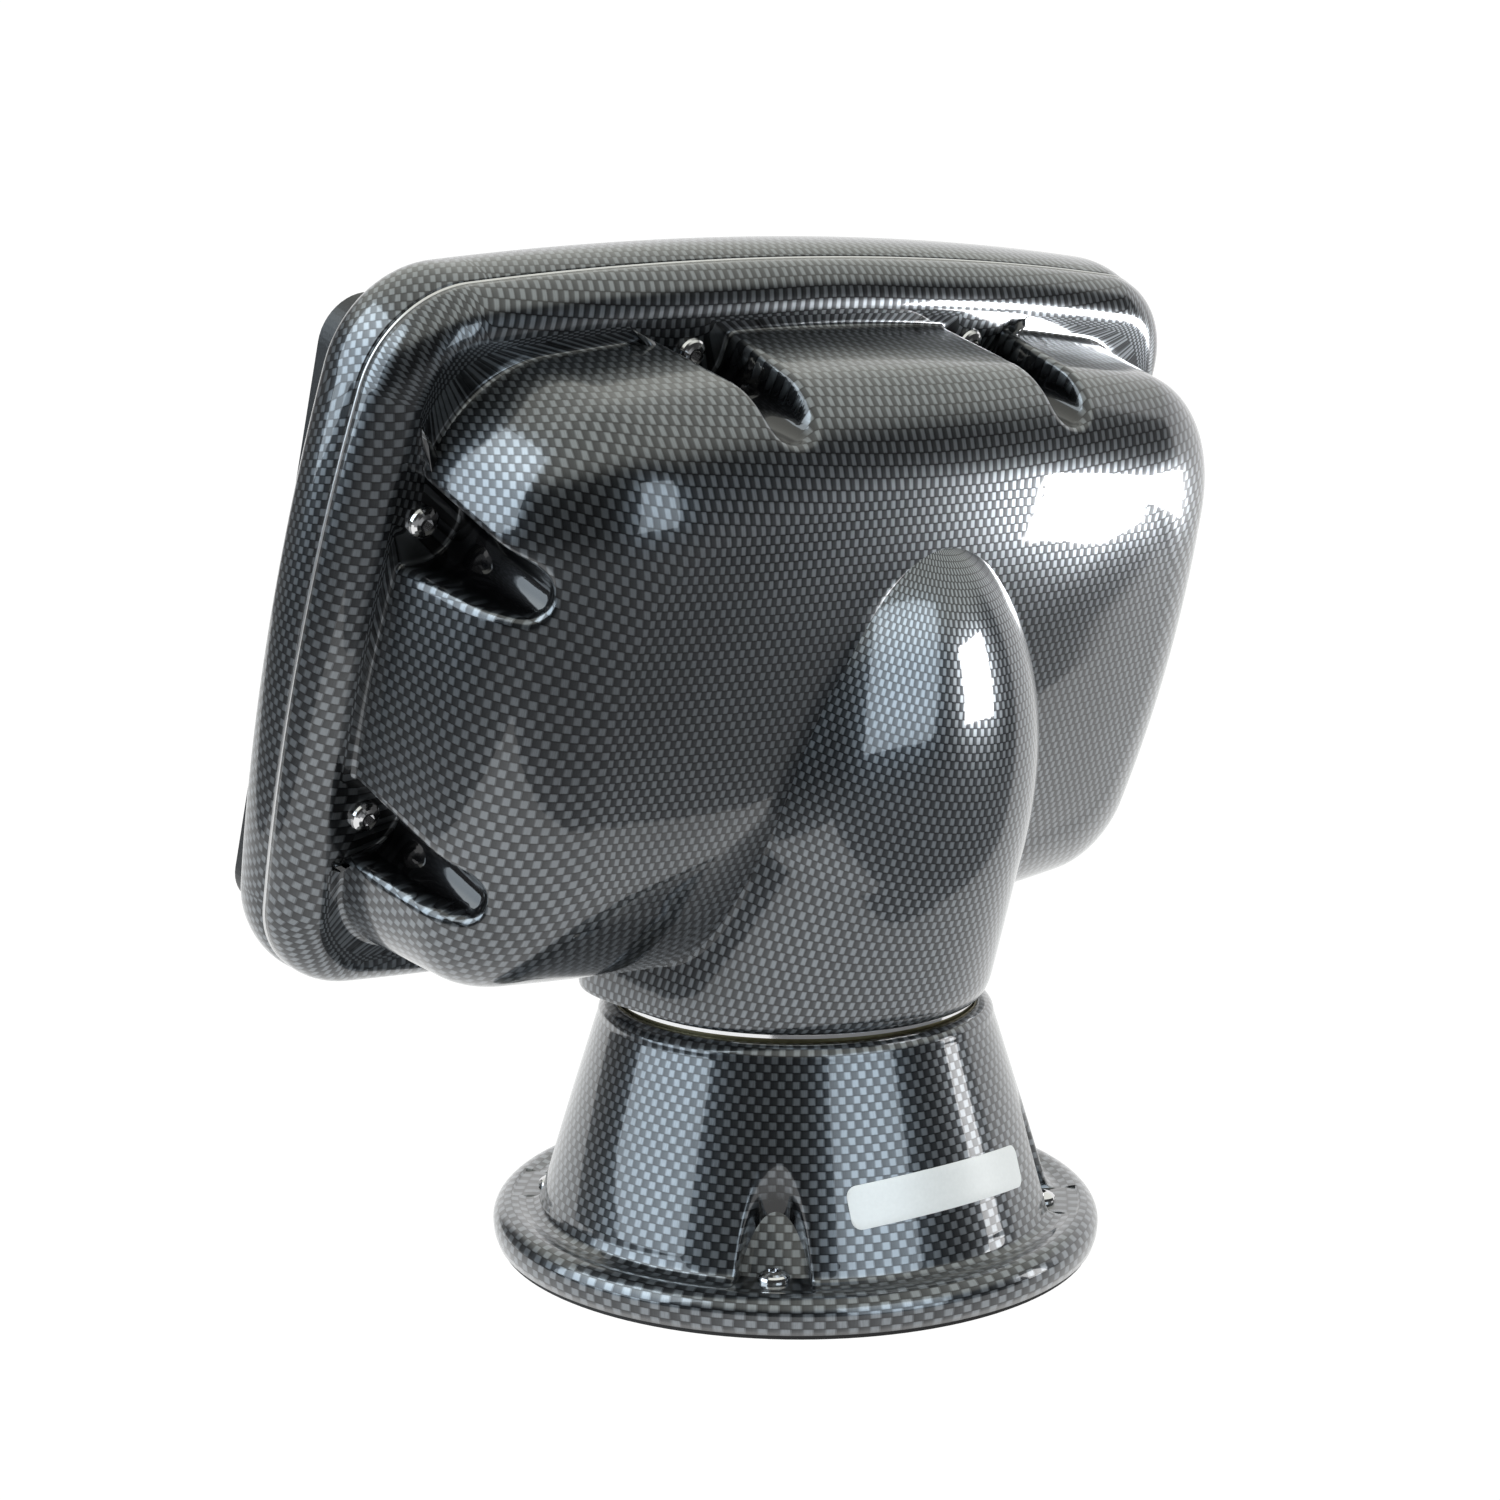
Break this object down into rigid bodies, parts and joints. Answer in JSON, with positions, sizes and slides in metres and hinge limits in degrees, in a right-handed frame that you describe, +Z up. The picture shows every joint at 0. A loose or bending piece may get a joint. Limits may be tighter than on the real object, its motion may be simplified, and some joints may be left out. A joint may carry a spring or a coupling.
{
  "type": "swivelling marine instrument pod",
  "caption": "Display pod for a boat: a screen in a two-part moulded head on a leaning hollow neck that swivels on a coned deck base.",
  "frame": {"origin": "on the swivel axis, in the plane that the base gasket rests on", "axes": "+Z up along the swivel axis, -Y the way the screen looks, +X towards the left of the picture"},
  "size_m": [0.326, 0.191, 0.3103],
  "materials": {
    "fibre_gloss": "clear-coated woven-fibre print on moulded ABS, polished",
    "black_plastic": "fine-grain moulded black",
    "case_black": "black powder coat on die-cast aluminium",
    "stainless": "polished stainless",
    "steel": "turned steel",
    "ring_chrome": "polished",
    "trim_silver": "silver-grey extruded seal",
    "alu": "turned, clear anodised",
    "bronze": "oil-filled bearing bronze, dull olive",
    "brass": "turned brass",
    "nylon": "natural nylon",
    "rubber": "black rubber",
    "silicone": "translucent grey silicone",
    "glass": "cover glass, black behind",
    "panel": "LCD module",
    "board": "green solder mask",
    "socket": "glass-filled nylon"
  },
  "bodies": {
    "base": {"base_housing": "fibre_gloss", "base_gasket": "rubber", "deck_ring": "alu", "base_screws": "stainless", "swivel_collar": "alu", "collar_screws": "stainless", "bearing_ring": "bronze", "stop_pin": "steel", "thrust_washer": "nylon"},
    "head": {"friction_washer": "steel", "spindle_nut": "steel", "spindle": "alu", "spindle_bolts": "steel", "swivel_ring": "ring_chrome", "cable_grommet": "rubber", "rear_shell": "fibre_gloss", "trim_gasket": "trim_silver", "front_bezel": "fibre_gloss", "screw_inserts": "brass", "head_screws": "stainless", "display_gasket": "rubber", "display_frame": "black_plastic", "display_case": "case_black", "display_glass": "glass", "display_panel": "panel", "main_board": "board", "display_studs": "stainless", "display_nuts": "brass", "lead_sockets": "socket", "key_dome": "silicone"},
    "key": {"power_key": "black_plastic"}
  },
  "joints": [
    {"name": "swivel", "type": "hinge", "parent": "base", "child": "head", "pos_m": [0, 0, 0.0782], "axis": [0, 0, 1], "range_deg": [-170, 170]},
    {"name": "power_key_press", "type": "slide", "parent": "head", "child": "key", "axis": [0, 0.9483, -0.3173], "range_m": [0, 0.0008], "stiffness_N_per_m": 2500}
  ]
}
